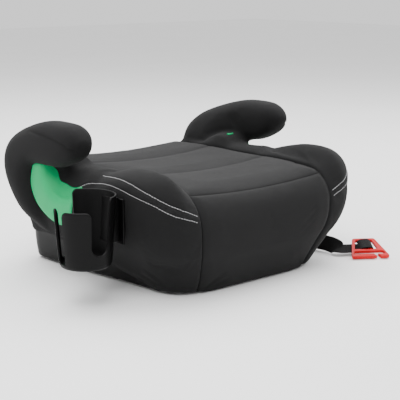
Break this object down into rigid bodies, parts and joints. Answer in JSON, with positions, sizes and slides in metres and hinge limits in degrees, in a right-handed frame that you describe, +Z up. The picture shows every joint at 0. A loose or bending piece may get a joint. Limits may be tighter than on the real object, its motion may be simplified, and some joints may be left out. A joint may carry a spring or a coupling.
{
  "type": "child booster seat",
  "caption": "Backless child booster seat with padded horn arms over green lap-belt guides, a lift-off cup holder on one side and a red shoulder-belt clip on a strap.",
  "frame": {"origin": "middle of the seat at floor level, under the centre foot pad", "axes": "+X to the right as seen from the front, the front faces -Y, +Z up"},
  "size_m": [0.5481, 0.3922, 0.232],
  "materials": {
    "seat_fabric": "dark grey fine-weave polyester seat fabric",
    "side_fabric": "charcoal woven polyester side fabric",
    "foam": "open-cell polyurethane foam",
    "black_plastic": "satin black moulded polypropylene",
    "green_plastic": "satin green moulded plastic",
    "red_plastic": "glossy red moulded plastic",
    "rubber": "black anti-slip rubber",
    "steel": "zinc-plated steel",
    "webbing": "black woven polyester webbing"
  },
  "bodies": {
    "seat": {"base_tray": "black_plastic", "seat_shell": "black_plastic", "foot_pad_front_left": "rubber", "foot_pad_front_right": "rubber", "foot_pad_rear_left": "rubber", "foot_pad_rear_right": "rubber", "foot_pad_centre": "rubber", "shell_screw_1": "steel", "shell_screw_2": "steel", "shell_screw_3": "steel", "shell_screw_4": "steel", "arm_core_left": "black_plastic", "arm_core_right": "black_plastic", "arm_foam_left": "foam", "arm_foam_right": "foam", "arm_cover_left": "side_fabric", "arm_cover_right": "side_fabric", "belt_guide_left": "green_plastic", "belt_guide_right": "green_plastic", "seat_foam": "foam", "bolster_foam_left": "foam", "bolster_foam_right": "foam", "cover_seat_panel": "seat_fabric", "cover_front_panel": "seat_fabric", "cover_rear_panel": "side_fabric", "cover_side_left": "side_fabric", "cover_side_right": "side_fabric", "cup_bracket": "black_plastic", "strap_anchor": "steel", "guide_strap": "webbing"},
    "cup_holder": {"cup_holder": "black_plastic"},
    "belt_clip": {"strap_loop": "webbing", "belt_clip": "red_plastic"}
  },
  "joints": [
    {"name": "cup_holder_lift", "type": "slide", "parent": "seat", "child": "cup_holder", "axis": [0, 0, 1], "range_m": [0, 0.055]},
    {"name": "clip_swing", "type": "hinge", "parent": "seat", "child": "belt_clip", "pos_m": [0.21237, -0.14065, 0.00927], "axis": [-0.8192, 0.5736, 0], "range_deg": [0, 50]}
  ]
}
